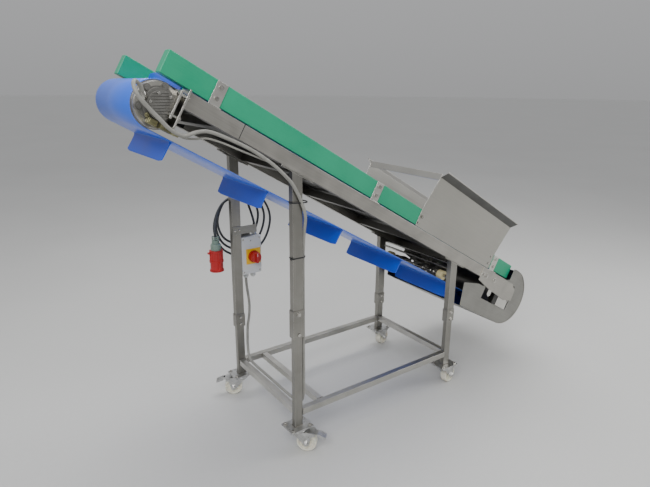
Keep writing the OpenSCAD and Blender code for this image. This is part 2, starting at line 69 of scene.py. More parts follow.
INCLINE = math.radians(29.7)
RAIL_FOOT = 1.105
MIDDLE = Vector((-0.443, 0.010, 0.0))
HALF = 0.255
LEG_Y = 0.242
LEG_X = (0.0, 0.0, 0.837, 0.837)
LEG_SIDE = (-1, 1, -1, 1)
COLLAR_Z = (0.488, 0.343, 0.334, 0.251)
COLLAR_H = (0.110, 0.060, 0.060, 0.060)
CASTER_TURN = (-45, 150, 10, 13)
GUIDE_FACE = 0.234
HEAD_U, HEAD_W = -0.497, -0.023
SPAN = 1.959
TAIL_U = HEAD_U + SPAN
BELT_R = 0.0735
BELT_T, COVER_T = 0.003, 0.0021
BRACKET_U = (-0.356, 0.382, 1.274)
CROSS_U = (-0.300, 0.060, 0.420, 0.780, 1.120)
CROSS_BAR_X = 0.117
IDLER_U, IDLER_W = 1.015, -0.0717
AXLE_X, AXLE_Z, FORK_Y = 0.038, 0.040, 0.0212
HOPPER_U, HOPPER_LEN, HOPPER_W = 0.651, 0.596, 0.279
HOPPER_NEAR_Y = -0.2346


def stand(x, y, z):
    return Vector((x, y, z)) + MIDDLE


BELT = Matrix.Translation(stand(0, 0, RAIL_FOOT)) @ Matrix.Rotation(INCLINE, 4, "Y")
STAND = Matrix.Translation(MIDDLE)


def on_belt(u, y, w):
    return BELT @ Vector((u, y, w))


def turned(degrees, axis):
    return Matrix.Rotation(math.radians(degrees), 4, axis)


def shifted(x, y, z):
    return Matrix.Translation((x, y, z))


# A frame whose Z axis points along -Y (out of the near side) or +Y (out of the far side)
NEAR = turned(90, "X")
FAR = turned(-90, "X")
SIDES = ((NEAR, -1), (FAR, 1))

# ---- camera ----------------------------------------------


def make_camera():
    """The photograph's viewpoint: 1.4 m above the floor, off the drive side's head corner."""
    yaw, pitch, roll = math.radians(35.56), math.radians(-16.88), math.radians(0.47)
    forward = Vector((math.sin(yaw) * math.cos(pitch), math.cos(yaw) * math.cos(pitch), math.sin(pitch)))
    level = Vector((math.cos(yaw), -math.sin(yaw), 0))
    upright = level.cross(forward)
    right = math.cos(roll) * level + math.sin(roll) * upright
    up = math.cos(roll) * upright - math.sin(roll) * level
    data = bpy.data.cameras.new("camera")
    data.sensor_width = 36
    data.lens = 29.27
    camera = bpy.data.objects.new("camera", data)
    camera.matrix_world = Matrix((right, up, -forward)).transposed().to_4x4()
    camera.location = (-1.3977, -1.7434, 1.395)
    shown.link(camera)
    bpy.context.scene.camera = camera


make_camera()

# ---- materials -------------------------------------------


def srgb(red, green, blue):
    return tuple((c / 255) ** 2.2 for c in (red, green, blue)) + (1.0,)


def scaled(colour, factor):
    return tuple(min(c * factor, 1.0) for c in colour[:3]) + (1.0,)


def spread(tree, source, low, high, from_low=0.3, from_high=0.7):
    """Map a noise value onto low to high."""
    node = tree.nodes.new("ShaderNodeMapRange")
    limits = {"From Min": from_low, "From Max": from_high, "To Min": low, "To Max": high}
    for name, value in limits.items():
        node.inputs[name].default_value = value
    tree.links.new(source, node.inputs["Value"])
    return node.outputs["Result"]


def mixed(tree, factor, a, b, blend="MIX"):
    """Mix two colours, each a socket or a value."""
    node = tree.nodes.new("ShaderNodeMix")
    node.data_type = "RGBA"
    node.blend_type = blend
    for socket, value in ((node.inputs[0], factor), (node.inputs[6], a), (node.inputs[7], b)):
        if isinstance(value, bpy.types.NodeSocket):
            tree.links.new(value, socket)
        else:
            socket.default_value = value
    return node.outputs[2]


def noise(tree, vector, scale, detail=3.0, distortion=0.0):
    node = tree.nodes.new("ShaderNodeTexNoise")
    for name, value in {"Scale": scale, "Detail": detail, "Distortion": distortion}.items():
        node.inputs[name].default_value = value
    tree.links.new(vector, node.inputs["Vector"])
    return node.outputs["Fac"]


FINISHES = {}


def surface(
    name, slot, colour, rough, cell, metallic=0.0, turn=0.0, tint=0.1, patch=0.1, grain=0.12,
    depth=0.00008, edge_highlight_and_wear=None, edge_band_width=0.0012, dirt=0.0, **sockets
):
    """A procedural finish. cell is the grain's size along x, y and z in metres, laid at angle turn
    about Y; patch is the size of the slow colour change; the edge colour is a painted highlight along the
    edges, with some wear."""
    material = bpy.data.materials.new(name)
    material.use_nodes = True
    tree = material.node_tree
    shader = tree.nodes["Principled BSDF"]
    place = tree.nodes.new("ShaderNodeTexCoord").outputs["Object"]
    laid = tree.nodes.new("ShaderNodeMapping")
    laid.vector_type = "TEXTURE"
    laid.inputs["Rotation"].default_value = (0, turn, 0)
    laid.inputs["Scale"].default_value = cell
    tree.links.new(place, laid.inputs["Vector"])
    fine = noise(tree, laid.outputs["Vector"], 1.0, 4.0)
    broad = noise(tree, place, 1 / patch, 3.0, 0.4)
    base = mixed(tree, spread(tree, broad, 0, 1), scaled(colour, 1 - tint), scaled(colour, 1 + tint))
    shade = mixed(tree, spread(tree, fine, 0, 1), scaled((1, 1, 1), 1 - grain), (1.0, 1.0, 1.0, 1.0))
    base = mixed(tree, 1.0, base, shade, "MULTIPLY")
    if dirt:
        spots = noise(tree, place, 0.45 / patch, 5.0, 1.2)
        base = mixed(tree, spread(tree, spots, 0, dirt, 0.52, 0.72), base, scaled(colour, 0.35))
    # Edges found by a bevel normal get the edge colour: a painted highlight where edges catch the light, with
    # some wear.
    if edge_highlight_and_wear:
        soft = tree.nodes.new("ShaderNodeBevel")
        soft.samples = 4
        soft.inputs["Radius"].default_value = edge_band_width
        true = tree.nodes.new("ShaderNodeNewGeometry")
        dot = tree.nodes.new("ShaderNodeVectorMath")
        dot.operation = "DOT_PRODUCT"
        tree.links.new(soft.outputs["Normal"], dot.inputs[0])
        tree.links.new(true.outputs["Normal"], dot.inputs[1])
        edge = spread(tree, dot.outputs["Value"], 0.75, 0.0, 0.86, 0.99)
        base = mixed(tree, edge, base, edge_highlight_and_wear)
    tree.links.new(base, shader.inputs["Base Color"])
    both = tree.nodes.new("ShaderNodeMath")
    both.operation = "MULTIPLY_ADD"
    both.inputs[1].default_value = 0.5
    tree.links.new(fine, both.inputs[0])
    halved = tree.nodes.new("ShaderNodeMath")
    halved.operation = "MULTIPLY"
    halved.inputs[1].default_value = 0.5
    tree.links.new(broad, halved.inputs[0])
    tree.links.new(halved.outputs[0], both.inputs[2])
    tree.links.new(spread(tree, both.outputs[0], rough[0], rough[1]), shader.inputs["Roughness"])
    bump = tree.nodes.new("ShaderNodeBump")
    bump.inputs["Strength"].default_value = 0.7
    bump.inputs["Distance"].default_value = depth
    tree.links.new(fine, bump.inputs["Height"])
    tree.links.new(bump.outputs["Normal"], shader.inputs["Normal"])
    shader.inputs["Metallic"].default_value = metallic
    for socket, value in sockets.items():
        shader.inputs[socket.replace("_", " ")].default_value = value
    FINISHES[name] = (material, slot)


STEEL = srgb(176, 173, 166)
# BRIGHT is the pale colour painted on the steel edges: a painted highlight.
BRIGHT = srgb(236, 234, 228)
FINE = (0.0012, 0.0012, 0.0012)
ALONG_X = (0.25, 0.003, 0.003)
ALONG_Y = (0.003, 0.25, 0.003)
ALONG_Z = (0.003, 0.003, 0.25)

# The edge colours given below are painted highlights along the edges, with some wear; the pale green on the
# guides' edges is a painted highlight.
surface("rail_steel", "rail_steel", STEEL, (0.3, 0.44), ALONG_X, 1.0, INCLINE, edge_highlight_and_wear=BRIGHT, dirt=0.25)
surface("guard_steel", "rail_steel", srgb(148, 147, 142), (0.32, 0.46), ALONG_X, 1.0, INCLINE,
        edge_highlight_and_wear=BRIGHT, dirt=0.3)
surface("bed_steel", "rail_steel", srgb(112, 112, 110), (0.4, 0.55), ALONG_X, 1.0, INCLINE, dirt=0.4)
surface("leg_steel", "rail_steel", srgb(150, 148, 142), (0.3, 0.42), ALONG_Z, 1.0, edge_highlight_and_wear=BRIGHT, dirt=0.2)
surface("head_steel", "rail_steel", srgb(205, 202, 194), (0.24, 0.36), FINE, 1.0, edge_highlight_and_wear=BRIGHT)
surface("weld_steel", "rail_steel", srgb(150, 146, 138), (0.35, 0.6), FINE, 1.0, depth=0.0004)
surface("cross_steel", "rail_steel", srgb(140, 138, 133), (0.36, 0.5), ALONG_Y, 1.0, dirt=0.3)
surface(
    "hopper_steel", "hopper_steel", srgb(178, 176, 169), (0.3, 0.4), (0.3, 0.004, 0.004), 1.0, INCLINE,
    tint=0.06, patch=0.25, grain=0.07, depth=0.00004, edge_highlight_and_wear=BRIGHT, dirt=0.12
)
surface("base_steel", "base_steel", srgb(186, 184, 177), (0.32, 0.46), ALONG_X, 1.0, edge_highlight_and_wear=BRIGHT, dirt=0.25)
surface("base_steel_y", "base_steel", srgb(204, 202, 196), (0.32, 0.46), ALONG_Y, 1.0, edge_highlight_and_wear=BRIGHT,
        dirt=0.25)
surface("bracket_steel", "bracket_steel", srgb(208, 206, 200), (0.26, 0.4), FINE, 1.0, edge_highlight_and_wear=BRIGHT)
surface(
    "zinc", "bracket_steel", srgb(200, 200, 198), (0.22, 0.42), (0.006, 0.006, 0.006), 1.0, tint=0.16,
    patch=0.02, edge_highlight_and_wear=BRIGHT, dirt=0.3
)
surface("bolt_steel", "bolt_steel", srgb(186, 184, 178), (0.18, 0.32), FINE, 1.0, patch=0.01, tint=0.15)
surface("drum_steel", "drum_steel", srgb(150, 148, 144), (0.3, 0.45), ALONG_Y, 1.0)
surface(
    "green_plastic", "green_plastic", srgb(24, 152, 112), (0.34, 0.5), (0.05, 0.002, 0.002), 0.0, INCLINE,
    tint=0.07, patch=0.2, grain=0.08, depth=0.00012, edge_highlight_and_wear=srgb(140, 222, 190), edge_band_width=0.002, dirt=0.08
)
surface(
    "belt_blue", "belt_blue", srgb(48, 104, 226), (0.26, 0.36), (0.0025, 0.0025, 0.0025), tint=0.06,
    patch=0.3, grain=0.05, depth=0.00006, Coat_Weight=0.25, Coat_Roughness=0.25
)
surface(
    "belt_fabric", "belt_blue", srgb(158, 163, 190), (0.6, 0.8), (0.0016, 0.0008, 0.0016), tint=0.08,
    grain=0.3, depth=0.0003, Sheen_Weight=0.2
)
surface(
    "flight_blue", "flight_blue", srgb(22, 74, 190), (0.3, 0.42), (0.0025, 0.0025, 0.0025), tint=0.08,
    patch=0.12, grain=0.06, depth=0.00006, edge_highlight_and_wear=srgb(84, 140, 235), edge_band_width=0.0015
)
surface(
    "drive_grey", "drive_grey", srgb(126, 125, 121), (0.38, 0.6), (0.003, 0.003, 0.003), 0.75, tint=0.14,
    patch=0.03, grain=0.25, depth=0.0005, edge_highlight_and_wear=srgb(170, 166, 158), dirt=0.35
)
surface("brass", "brass", srgb(150, 146, 112), (0.3, 0.45), FINE, 0.9, tint=0.15, patch=0.02, dirt=0.4)
surface(
    "cable_grey", "cable_grey", srgb(138, 137, 131), (0.4, 0.55), (0.002, 0.002, 0.002), tint=0.1,
    patch=0.05, grain=0.12, depth=0.0002, dirt=0.25
)
surface(
    "cable_black", "cable_black", srgb(58, 62, 66), (0.4, 0.56), (0.002, 0.002, 0.002), tint=0.12,
    patch=0.05, grain=0.2, depth=0.0002, dirt=0.2
)
surface(
    "black_plastic", "cable_black", srgb(34, 34, 36), (0.35, 0.5), FINE, tint=0.1, grain=0.2,
    edge_highlight_and_wear=srgb(90, 90, 92)
)
surface(
    "white_nylon", "white_nylon", srgb(226, 222, 206), (0.4, 0.55), (0.004, 0.004, 0.004), tint=0.06,
    patch=0.015, grain=0.1, depth=0.0002, dirt=0.3, Subsurface_Weight=0.05
)
surface("cream_plastic", "cream_plastic", srgb(224, 210, 160), (0.4, 0.5), FINE, patch=0.02, dirt=0.2)
surface(
    "box_grey", "box_grey", srgb(206, 208, 206), (0.42, 0.55), (0.0015, 0.0015, 0.0015), tint=0.03,
    grain=0.06, depth=0.0001, edge_highlight_and_wear=srgb(236, 238, 236), dirt=0.06
)
surface("yellow_plastic", "yellow_plastic", srgb(240, 190, 30), (0.35, 0.5), FINE, grain=0.06, dirt=0.06)
surface(
    "red_plastic", "red_plastic", srgb(176, 28, 30), (0.28, 0.42), FINE, tint=0.08, patch=0.03, grain=0.08,
    edge_highlight_and_wear=srgb(232, 90, 80), dirt=0.1
)
surface("plug_green", "plug_green", srgb(120, 140, 128), (0.4, 0.55), FINE, edge_highlight_and_wear=srgb(165, 182, 170))

# ---- mesh building ---------------------------------------


def shade(obj, angle=38):
    obj.data.shade_smooth()
    obj.data.set_sharp_from_angle(angle=math.radians(angle))


def rounded(obj, width, segments=2, angle=34):
    """Round an object's sharp edges."""
    bevel = obj.modifiers.new("rounded edges", "BEVEL")
    bevel.width = width
    bevel.segments = segments
    bevel.limit_method = "ANGLE"
    bevel.angle_limit = math.radians(angle)
    bevel.harden_normals = True


def piece(name, bm, finish, body, edge=0.0, angle=38):
    """Make a bmesh, drawn in the row's frame, into an object that rides on a body."""
    bmesh.ops.remove_doubles(bm, verts=bm.verts, dist=1e-6)
    bmesh.ops.recalc_face_normals(bm, faces=bm.faces)
    mesh = bpy.data.meshes.new(name)
    bm.to_mesh(mesh)
    bm.free()
    obj = bpy.data.objects.new(name, mesh)
    shown.link(obj)
    material, slot = FINISHES[finish]
    mesh.materials.append(material)
    shade(obj, angle)
    if edge:
        rounded(obj, edge)
    if body:
        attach(obj, body)
    return obj


def add_block(bm, lo, hi, at=STAND):
    lo, hi = Vector(lo), Vector(hi)
    size = Matrix.Diagonal((*(hi - lo), 1))
    bmesh.ops.create_cube(bm, size=1, matrix=at @ Matrix.Translation((lo + hi) / 2) @ size)


def add_turned(bm, profile, at, steps=32):
    """Revolve (radius, height) points about the Z axis of at."""
    rings = []
    for radius, height in profile:
        angles = [2 * math.pi * k / steps for k in range(steps)] if radius else [0]
        rings.append([
            bm.verts.new(at @ Vector((radius * math.cos(a), radius * math.sin(a), height))) for a in angles
        ])
    for low, high in zip(rings, rings[1:]):
        for k in range(steps):
            corners = [low[k % len(low)], low[(k + 1) % len(low)], high[(k + 1) % len(high)],
                    high[k % len(high)]]
            face = list(dict.fromkeys(corners))
            if len(face) > 2:
                bm.faces.new(face)


def chamfered(radius, height, top_radius, top, foot=0):
    """The profile of a disc whose upper rim is cut back to top_radius."""
    return [(0, foot), (radius, foot), (radius, height), (top_radius, top), (0, top)]


def add_plate(bm, outline, depth, at):
    """Extrude an outline in x and y by depth along z."""
    low = [bm.verts.new(at @ Vector((x, y, 0))) for x, y in outline]
    high = [bm.verts.new(at @ Vector((x, y, depth))) for x, y in outline]
    bm.faces.new(low[::-1])
    bm.faces.new(high)
    for k in range(len(outline)):
        after = (k + 1) % len(outline)
        bm.faces.new((low[k], low[after], high[after], high[k]))


def headings(points):
    """Unit directions along a line, and sideways axes carried along it without twisting."""
    count = len(points)
    along = [(points[min(k + 1, count - 1)] - points[max(k - 1, 0)]).normalized() for k in range(count)]
    side = along[0].orthogonal().normalized()
    sides = []
    for direction in along:
        side = (side - direction * side.dot(direction)).normalized()
        sides.append(side)
    return along, sides


def add_swept(bm, points, radius, sides=10, flat=1.0, across=None):
    """Sweep an ellipse along points. radius is a number or a function of the way along, 0 to 1."""
    along, axes = headings(points)
    rings = []
    for k, (point, direction, side) in enumerate(zip(points, along, axes)):
        if across:
            side = (across - direction * across.dot(direction)).normalized()
        other = direction.cross(side)
        size = radius(k / (len(points) - 1)) if callable(radius) else radius
        rings.append([
            bm.verts.new(
                point + size * math.cos(2 * math.pi * j / sides) * side
                + size * flat * math.sin(2 * math.pi * j / sides) * other
            ) for j in range(sides)
        ])
    for low, high in zip(rings, rings[1:]):
        for j in range(sides):
            bm.faces.new((low[j], low[(j + 1) % sides], high[(j + 1) % sides], high[j]))
    bm.faces.new(rings[0][::-1])
    bm.faces.new(rings[-1])


def smooth_line(points, steps=10):
    """A Catmull-Rom curve through points."""
    line = []
    last = len(points) - 1
    for i in range(last):
        a, b, c, d = points[max(i - 1, 0)], points[i], points[i + 1], points[min(i + 2, last)]
        for k in range(steps):
            f = k / steps
            line.append(0.5 * (
                2 * b + (c - a) * f + (2 * a - 5 * b + 4 * c - d) * f * f + (3 * b - a - 3 * c + d) * f ** 3
            ))
    return line + [points[-1]]


def length_of(line):
    return sum((b - a).length for a, b in zip(line, line[1:]))


def add_bolt(bm, at, radius, washer=True):
    """A chamfered hexagon head on a washer, standing on at and pointing along its Z."""
    foot = radius * 0.35 if washer else 0
    if washer:
        rim = radius * 2.15
        add_turned(bm, chamfered(rim, foot * 0.8, rim * 0.96, foot), at, 28)
    across, top = radius * 1.8, foot + radius * 1.3
    add_turned(bm, chamfered(across, top - radius * 0.25, across * 0.82, top, foot), at, 6)


def add_washer(bm, at, inner, outer, thick):
    add_turned(
        bm, [(inner, 0), (outer, 0), (outer, thick * 0.7), (outer * 0.97, thick), (inner, thick),
                (inner, 0)], at, 28
    )


def add_bead(bm, start, end, radius):
    """A weld bead: a low rippled line from start to end."""
    start, end = Vector(start), Vector(end)
    count = max(int((end - start).length / 0.0035), 3)
    line = [start.lerp(end, k / count) for k in range(count + 1)]
    add_swept(bm, line, lambda t: radius * (0.8 + 0.25 * math.cos(t * count * math.pi)), 8)


# ---- cords and cables ------------------------------------


def supply_route():
    """Out of the box's top gland, up to the hook, three hung turns and down to the plug."""
    route = [
        (0.100, 0.262, 0.7725), (0.100, 0.262, 0.805), (0.099, 0.280, 0.842), (0.097, 0.304, 0.880),
        (0.094, 0.306, 0.908)
    ]
    turn = (
        (0.12, 0), (0.42, -0.12), (0.56, -0.45), (0.42, -0.82), (0.06, -1), (-0.32, -0.84), (-0.46, -0.48),
        (-0.3, -0.12)
    )
    for i in range(3):
        middle, width, drop = 0.055 - 0.014 * i, 0.272 - 0.040 * i, 0.282 - 0.034 * i
        route += [(middle + a * width, 0.306 - 0.0105 * i + a * 0.003, 0.930 + b * drop) for a, b in turn]
    route += [
        (0.014, 0.272, 0.932), (-0.042, 0.270, 0.905), (-0.074, 0.258, 0.862), (-0.090, 0.246, 0.820),
        (-0.094, 0.240, 0.790), (-0.094, 0.240, 0.761)
    ]
    return [stand(*p) for p in route]


def drive_route():
    """Off the drive, under the rail, down the near head leg, over the base and up to the box."""
    head = [
        (-0.553, -0.236, -0.016), (-0.570, -0.243, -0.002), (-0.590, -0.256, 0.0), (-0.592, -0.270, -0.014),
        (-0.574, -0.282, -0.034), (-0.540, -0.284, -0.049), (-0.500, -0.285, -0.062),
                (-0.460, -0.284, -0.074),
        (-0.415, -0.276, -0.072), (-0.385, -0.272, -0.046), (-0.350, -0.268, -0.026),
                (-0.290, -0.264, -0.016),
        (-0.200, -0.262, -0.010), (-0.110, -0.262, -0.016)
    ]
    legs = [
        (-0.048, -0.262, 1.096), (-0.020, -0.262, 1.062), (0.010, -0.262, 1.005), (0.028, -0.260, 0.950),
        (0.0295, -0.248, 0.880)
    ]
    legs += [(0.0295, -0.242, z) for z in (0.800, 0.700, 0.600, 0.479, 0.400, 0.300)]
    legs += [
        (0.029, -0.238, 0.220),
        (0.026, -0.210, 0.190), (0.020, -0.140, 0.186), (0.020, 0.0, 0.186), (0.020, 0.140, 0.186),
        (0.024, 0.200, 0.192), (0.030, 0.226, 0.240), (0.038, 0.240, 0.290), (0.044, 0.246, 0.331),
        (0.056, 0.252, 0.380), (0.060, 0.256, 0.440), (0.053, 0.262, 0.525), (0.052, 0.262, 0.5655)
    ]
    return [on_belt(*p) for p in head] + [stand(*p) for p in legs]


def make_supply_cable():
    line = smooth_line(supply_route())
    bm = bmesh.new()
    add_swept(bm, line, 0.005, 12)
    cable = piece("supply_lead", bm, "cable_black", "conveyor", angle=80)
    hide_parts("supply_cable")
    supply_route()[0]
    print(f"supply cable {length_of(line):.3f} m")


def make_drive_cable():
    line = smooth_line(drive_route())
    bm = bmesh.new()
    add_swept(bm, line, 0.006, 12)
    cable = piece("drive_lead", bm, "cable_grey", None, angle=80)
    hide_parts("motor_cable", "base_cable")
    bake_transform(cable)
    print(f"drive cable {length_of(line):.3f} m")


make_supply_cable()
make_drive_cable()

# ---- finish of the CAD pieces ----------------------------

FINISH_OF = {
    "rail_steel": ["side_rail_near", "side_rail_far", "tail_arms"],
    "guard_steel": ["tail_guard_wrap", "tail_guard_sides", "box_bracket"],
    "bed_steel": ["slider_bed"],
    "cross_steel": ["cross_members"],
    "head_steel": ["head_plates", "head_flanges"],
    "leg_steel": ["upper_legs", "leg_collars", "lower_legs"],
    "hopper_steel": ["hopper_near", "hopper_far", "hopper_back", "hopper_brace"],
    "base_steel": ["base_side_rails"],
    "base_steel_y": ["base_end_rails"],
    "bracket_steel": ["guide_brackets", "takeup_blocks", "cable_hook"],
    "zinc": ["caster_plates"] + [f"caster_fork_{k}" for k in (1, 2, 3, 4)] + ["brake_pedal_1",
            "brake_pedal_2"],
    "bolt_steel": ["hex_bolts", "clamp_bolts", "idler_shaft", "tie_rods"],
    "drum_steel": ["head_drum", "tail_drum"],
    "green_plastic": ["guide_near", "guide_far"],
    "drive_grey": ["motor_housing", "motor_cover", "head_bearing"],
    "brass": ["motor_gland"],
    "white_nylon": [f"caster_wheel_{k}" for k in (1, 2, 3, 4)],
    "cream_plastic": ["idler_rollers"],
    "box_grey": ["enclosure_box", "enclosure_lid", "box_glands"],
    "yellow_plastic": ["switch_plate"],
    "red_plastic": ["switch_knob", "plug_body"],
    "plug_green": ["plug_cap"],
}
EDGE_OF = {
    "guide_near": 0.0025, "guide_far": 0.0025, "motor_housing": 0.002, "motor_cover": 0.0008,
    "enclosure_box": 0.0012, "enclosure_lid": 0.002, "leg_collars": 0.0012, "upper_legs": 0.002,
    "lower_legs": 0.002, "base_side_rails": 0.002, "base_end_rails": 0.002, "side_rail_near": 0.0015,
    "side_rail_far": 0.0015, "switch_knob": 0.0016, "takeup_blocks": 0.003, "head_bearing": 0.002
}


def finish_cad():
    for finish, names in FINISH_OF.items():
        for name in names:
            obj = nodes[name]
            for slot in obj.material_slots:
                slot.material = FINISHES[finish][0]
            if "custom_normal" in obj.data.attributes:
                obj.data.attributes.remove(obj.data.attributes["custom_normal"])
            obj.data.shade_smooth()
            weld = obj.modifiers.new("joined corners", "WELD")
            weld.merge_threshold = 1e-6
            rounded(obj, EDGE_OF.get(name, 0.0007))


finish_cad()

# ---- belt and flights ------------------------------------

ARC = math.pi * BELT_R
ARC_STEPS, SPAN_STEPS = 32, 40


def loop_frame(s):
    """The belt's outer face at distance s past the head drum's top: local X along, Z outwards."""
    back, tail, top = s - ARC, s - ARC - SPAN, s - 2 * ARC - SPAN
    if s < 0:
        return BELT @ shifted(HEAD_U - s, 0, HEAD_W + BELT_R)
    if back < 0:
        return BELT @ shifted(HEAD_U, 0, HEAD_W) @ turned(-s / ARC * 180, "Y") @ shifted(0, 0, BELT_R)
    if tail < 0:
        return BELT @ shifted(HEAD_U + back, 0, HEAD_W - BELT_R) @ turned(180, "Y")
    if top < 0:
        return BELT @ shifted(TAIL_U, 0, HEAD_W) @ turned(180 - tail / ARC * 180, "Y") @ shifted(0, 0,
                BELT_R)
    return BELT @ shifted(TAIL_U - top, 0, HEAD_W + BELT_R)


def make_belt_layer(name, finish, width, low, high):
    """One ply of the belt between two depths under its outer face."""
    arc = [ARC * k / ARC_STEPS for k in range(ARC_STEPS)]
    span = [SPAN * k / SPAN_STEPS for k in range(SPAN_STEPS)]
    stops = arc + [ARC + d for d in span] + [ARC + SPAN + d for d in arc] + [2 * ARC + SPAN + d for d in span]
    half, soft = width / 2, (low - high) * 0.35
    section = [
        (-half, -high - soft), (-half + soft, -high), (half - soft, -high), (half, -high - soft),
        (half, -low + soft), (half - soft, -low), (-half + soft, -low), (-half, -low + soft)
    ]
    bm = bmesh.new()
    rings = [[bm.verts.new(loop_frame(s) @ Vector((0, y, h))) for y, h in section] for s in stops]
    for a, b in zip(rings, rings[1:] + rings[:1]):
        for k in range(len(section)):
            after = (k + 1) % len(section)
            bm.faces.new((a[k], a[after], b[after], b[k]))
    return piece(name, bm, finish, "conveyor", angle=50)


def make_belt():
    cover = make_belt_layer("belt_cover", "belt_blue", 0.385, COVER_T, 0.0)
    make_belt_layer("belt_carcass", "belt_fabric", 0.3842, BELT_T, COVER_T)
    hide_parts("belt")


FLIGHT_H, FLIGHT_HALF = 0.066, 0.175
FLIGHT_COUNT, FLIGHT_PITCH, FIRST_FLIGHT = 12, 0.377, -0.054


def add_flight(bm, at, lean, bow):
    """A welded flight: thick at its foot, round at its tip. lean and bow bend its free edge."""
    heights = [0.0, 0.002, 0.005, 0.010, 0.020, 0.035, 0.050, 0.0615, 0.0648, FLIGHT_H]
    halves = [0.0070, 0.0048, 0.0032, 0.0023, 0.0020, 0.0020, 0.0020, 0.0020, 0.0014, 0.0003]
    rows = 14
    sections = []
    for k in range(rows + 1):
        y = -FLIGHT_HALF + 2 * FLIGHT_HALF * k / rows
        corner = 0.004 if k in (0, rows) else 0.0
        wave = bow * math.sin(math.pi * (k / rows) ** 1.4)
        left, right = [], []
        for h, half in zip(heights, halves):
            share = (h / FLIGHT_H) ** 2
            height = h - corner * share
            middle = (lean + wave) * share
            left.append(bm.verts.new(at @ Vector((middle - half, y, height))))
            right.append(bm.verts.new(at @ Vector((middle + half, y, height))))
        sections.append(left + right[::-1])
    count = len(sections[0])
    for a, b in zip(sections, sections[1:]):
        for k in range(count):
            after = (k + 1) % count
            bm.faces.new((a[k], a[after], b[after], b[k]))
    bm.faces.new(sections[0])
    bm.faces.new(sections[-1][::-1])


def make_flights():
    bm = bmesh.new()
    for k in range(FLIGHT_COUNT):
        at = loop_frame(FLIGHT_PITCH * k + FIRST_FLIGHT)
        add_flight(bm, at, 0.003 * math.sin(2.3 * k), 0.004 * math.cos(1.7 * k))
    flights = piece("belt_flights", bm, "flight_blue", "conveyor", angle=42)
    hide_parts("flights")


make_belt()
make_flights()

# ---- head end --------------------------------------------


def make_head():
    rim = bmesh.new()
    for side in (NEAR, FAR):
        at = BELT @ shifted(HEAD_U, 0, HEAD_W) @ side
        add_turned(rim, [(0.0600, 0.195), (0.0672, 0.195), (0.0680, 0.1975), (0.0672, 0.2070),
                (0.0600, 0.2070),
                         (0.0600, 0.195)], at, 72)
    piece("drum_rims", rim, "bracket_steel", "conveyor", angle=30)

    bolts = bmesh.new()
    for k in range(6):
        angle = math.radians(60 * k + 10)
        at = BELT @ shifted(HEAD_U, -0.252, HEAD_W) @ NEAR
        if math.cos(angle) < 0.6:
            add_bolt(bolts, at @ shifted(0.034 * math.cos(angle), 0.034 * math.sin(angle), 0), 0.0026,
                    False)
    bearing_face = 0.224
    for side in (NEAR, FAR):
        for k in range(4):
            angle = math.radians(95 + 55 * k)
            at = BELT @ shifted(HEAD_U, 0, HEAD_W) @ side
            add_bolt(bolts, at @ shifted(0.047 * math.cos(angle), 0.047 * math.sin(angle),
                    bearing_face - 0.012), 0.003)
    for w in (-0.034, 0.030):
        for y in (-HALF - 0.0045, HALF + 0.0045):
            add_washer(bolts, BELT @ shifted(-0.470, y, w) @ turned(-90, "Y"), 0.004, 0.0082, 0.0016)
            add_bolt(bolts, BELT @ shifted(-0.443, y, w) @ turned(90, "Y"), 0.004)
    piece("head_bolts", bolts, "bolt_steel", "conveyor", 0.0004)

    fittings = bmesh.new()
    for k in range(5):
        at = BELT @ shifted(-0.480 + 0.007 * k, -HALF - 0.010, -0.075) @ NEAR
        add_turned(fittings, chamfered(0.0028, 0.002, 0.0018, 0.003), at, 12)
    for step in range(6):
        at = BELT @ shifted(-0.444 + 0.0042 * step, -HALF + 0.002, -0.075) @ turned(90, "Y")
        add_turned(fittings, [(0.0068, 0), (0.0082, 0.0007), (0.0082, 0.0022), (0.0068, 0.003)], at, 18)
    add_turned(fittings, chamfered(0.0075, 0.005, 0.005, 0.008),
               BELT @ shifted(-0.520, -0.238, -0.064) @ NEAR, 6)
    piece("head_fittings", fittings, "brass", "conveyor", 0.0004)

    elbow = bmesh.new()
    line = [on_belt(-0.540, -0.228, -0.026), on_belt(-0.546, -0.235, -0.022),
            on_belt(-0.556, -0.237, -0.013)]
    add_swept(elbow, smooth_line(line, 6), lambda t: 0.0098 - 0.0020 * t, 16)
    piece("cable_elbow", elbow, "bolt_steel", "conveyor", 0.0004)

    plug = bmesh.new()
    add_block(plug, (-0.514, -0.246, -0.084), (-0.486, -0.222, -0.066), BELT)
    add_block(plug, (-0.511, -0.249, -0.081), (-0.489, -0.245, -0.069), BELT)
    piece("terminal_cover", plug, "brass", "conveyor", 0.0012)

    welds = bmesh.new()
    for y in (-HALF, HALF):
        side = math.copysign(0.0006, y)
        add_bead(welds, on_belt(-0.4425, y + side, 0.002), on_belt(-0.4425, y + side, 0.048), 0.0016)
        add_bead(welds, on_belt(-0.4712, y * 0.82, -0.040), on_belt(-0.4712, y * 0.82, 0.034), 0.0014)
    piece("head_welds", welds, "weld_steel", "conveyor")


def make_thin_cable():
    """A second, thinner lead that runs beside the drive's cable under the rail."""
    route = [
        (-0.419, -0.253, -0.075), (-0.400, -0.254, -0.074), (-0.372, -0.257, -0.062),
                (-0.340, -0.259, -0.044),
        (-0.290, -0.2595, -0.034), (-0.230, -0.259, -0.028), (-0.160, -0.255, -0.020),
                (-0.110, -0.248, -0.014)
    ]
    line = smooth_line([on_belt(*p) for p in route])
    bm = bmesh.new()
    add_swept(bm, line, 0.0033, 10)
    piece("sensor_lead", bm, "cable_grey", "conveyor", angle=80)


make_head()
make_thin_cable()

# ---- rails, guides and bed -------------------------------


